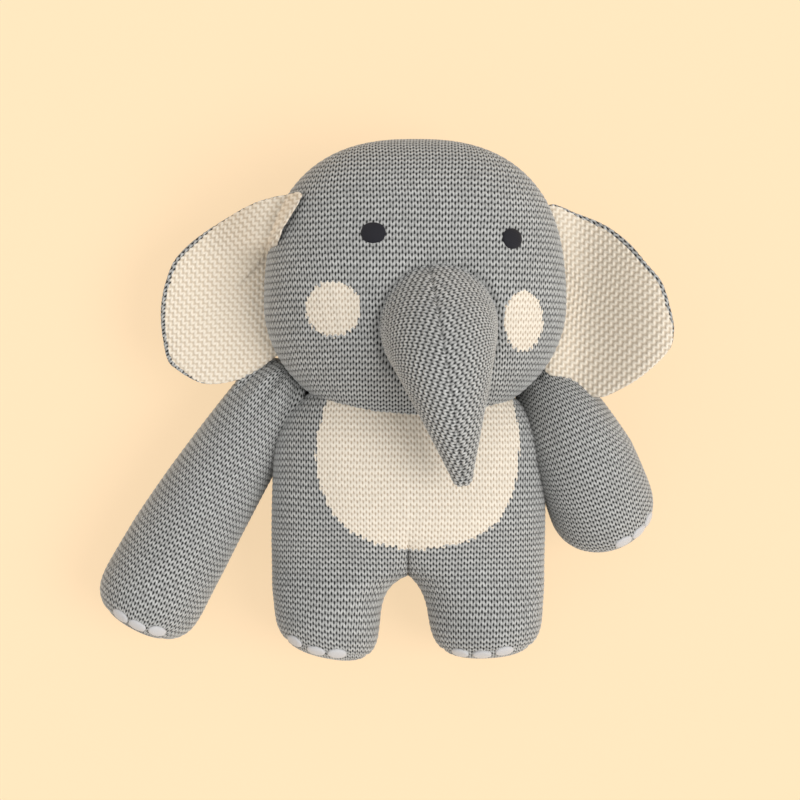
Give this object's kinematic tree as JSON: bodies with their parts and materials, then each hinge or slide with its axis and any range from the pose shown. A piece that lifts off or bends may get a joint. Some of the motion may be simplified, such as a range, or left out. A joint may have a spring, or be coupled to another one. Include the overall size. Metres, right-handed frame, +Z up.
{
  "type": "stuffed elephant",
  "caption": "Knitted stuffed elephant lying on its back, with soft hinged head, ears, trunk, arms and legs.",
  "frame": {"origin": "on the flat resting face of the torso's back, below the middle of the chest", "axes": "+Z up from the resting surface towards the elephant's front, +Y from its feet to its crown, +X to its own left"},
  "size_m": [0.3817, 0.3587, 0.1637],
  "materials": {
    "grey_knit": "matte chunky grey cotton knit",
    "cream_knit": "matte chunky cream cotton knit",
    "eye_thread": "dense dark navy embroidery",
    "nail_felt": "pale grey satin-stitched felt",
    "filling": "white polyester fibre filling"
  },
  "bodies": {
    "torso": {"torso_front": "grey_knit", "torso_back": "grey_knit", "torso_stuffing": "filling", "belly_patch": "cream_knit"},
    "head": {"head_front": "grey_knit", "head_back": "grey_knit", "head_stuffing": "filling", "cheek_patch_right": "cream_knit", "eye_right": "eye_thread", "cheek_patch_left": "cream_knit", "eye_left": "eye_thread"},
    "trunk": {"trunk_right": "grey_knit", "trunk_left": "grey_knit", "trunk_stuffing": "filling"},
    "ear_right": {"ear_right_front": "cream_knit", "ear_right_back": "grey_knit", "ear_right_wadding": "filling"},
    "ear_left": {"ear_left_front": "cream_knit", "ear_left_back": "grey_knit", "ear_left_wadding": "filling"},
    "arm_right": {"arm_right_sleeve": "grey_knit", "arm_right_sole": "grey_knit", "arm_right_stuffing": "filling", "arm_right_nail_1": "nail_felt", "arm_right_nail_2": "nail_felt", "arm_right_nail_3": "nail_felt"},
    "arm_left": {"arm_left_sleeve": "grey_knit", "arm_left_sole": "grey_knit", "arm_left_stuffing": "filling", "arm_left_nail_1": "nail_felt", "arm_left_nail_2": "nail_felt", "arm_left_nail_3": "nail_felt"},
    "leg_right": {"leg_right_sleeve": "grey_knit", "leg_right_sole": "grey_knit", "leg_right_stuffing": "filling", "leg_right_nail_1": "nail_felt", "leg_right_nail_2": "nail_felt", "leg_right_nail_3": "nail_felt"},
    "leg_left": {"leg_left_sleeve": "grey_knit", "leg_left_sole": "grey_knit", "leg_left_stuffing": "filling", "leg_left_nail_1": "nail_felt", "leg_left_nail_2": "nail_felt", "leg_left_nail_3": "nail_felt"}
  },
  "joints": [
    {"name": "neck_turn", "type": "hinge", "parent": "torso", "child": "head", "pos_m": [0.0047, 0.01, 0.062], "axis": [0, 1, 0], "range_deg": [-15, 4], "stiffness_Nm_per_rad": 0.8},
    {"name": "trunk_lift", "type": "hinge", "parent": "head", "child": "trunk", "pos_m": [0.022, 0.05, 0.108], "axis": [-1, 0, 0], "range_deg": [-4, 30], "stiffness_Nm_per_rad": 0.25},
    {"name": "ear_right_flap", "type": "hinge", "parent": "head", "child": "ear_right", "pos_m": [-0.097, 0.074, 0.052], "axis": [0, 1, 0], "range_deg": [-10, 40], "stiffness_Nm_per_rad": 0.15},
    {"name": "ear_left_flap", "type": "hinge", "parent": "head", "child": "ear_left", "pos_m": [0.108, 0.064, 0.062], "axis": [0, -1, 0], "range_deg": [0, 30], "stiffness_Nm_per_rad": 0.15},
    {"name": "shoulder_right_lift", "type": "hinge", "parent": "torso", "child": "arm_right", "pos_m": [-0.093, 0, 0.046], "axis": [-0.8754, 0.4834, 0], "range_deg": [0, 45], "stiffness_Nm_per_rad": 0.25},
    {"name": "shoulder_left_lift", "type": "hinge", "parent": "torso", "child": "arm_left", "pos_m": [0.094, 0.01, 0.042], "axis": [-0.9042, -0.427, 0], "range_deg": [0, 5], "stiffness_Nm_per_rad": 0.25},
    {"name": "hip_right_lift", "type": "hinge", "parent": "torso", "child": "leg_right", "pos_m": [-0.051, -0.1, 0.038], "axis": [-0.9975, -0.0712, 0], "range_deg": [0, 35], "stiffness_Nm_per_rad": 0.4},
    {"name": "hip_left_lift", "type": "hinge", "parent": "torso", "child": "leg_left", "pos_m": [0.0495, -0.1, 0.038], "axis": [-0.9998, -0.0192, 0], "range_deg": [0, 35], "stiffness_Nm_per_rad": 0.4}
  ]
}
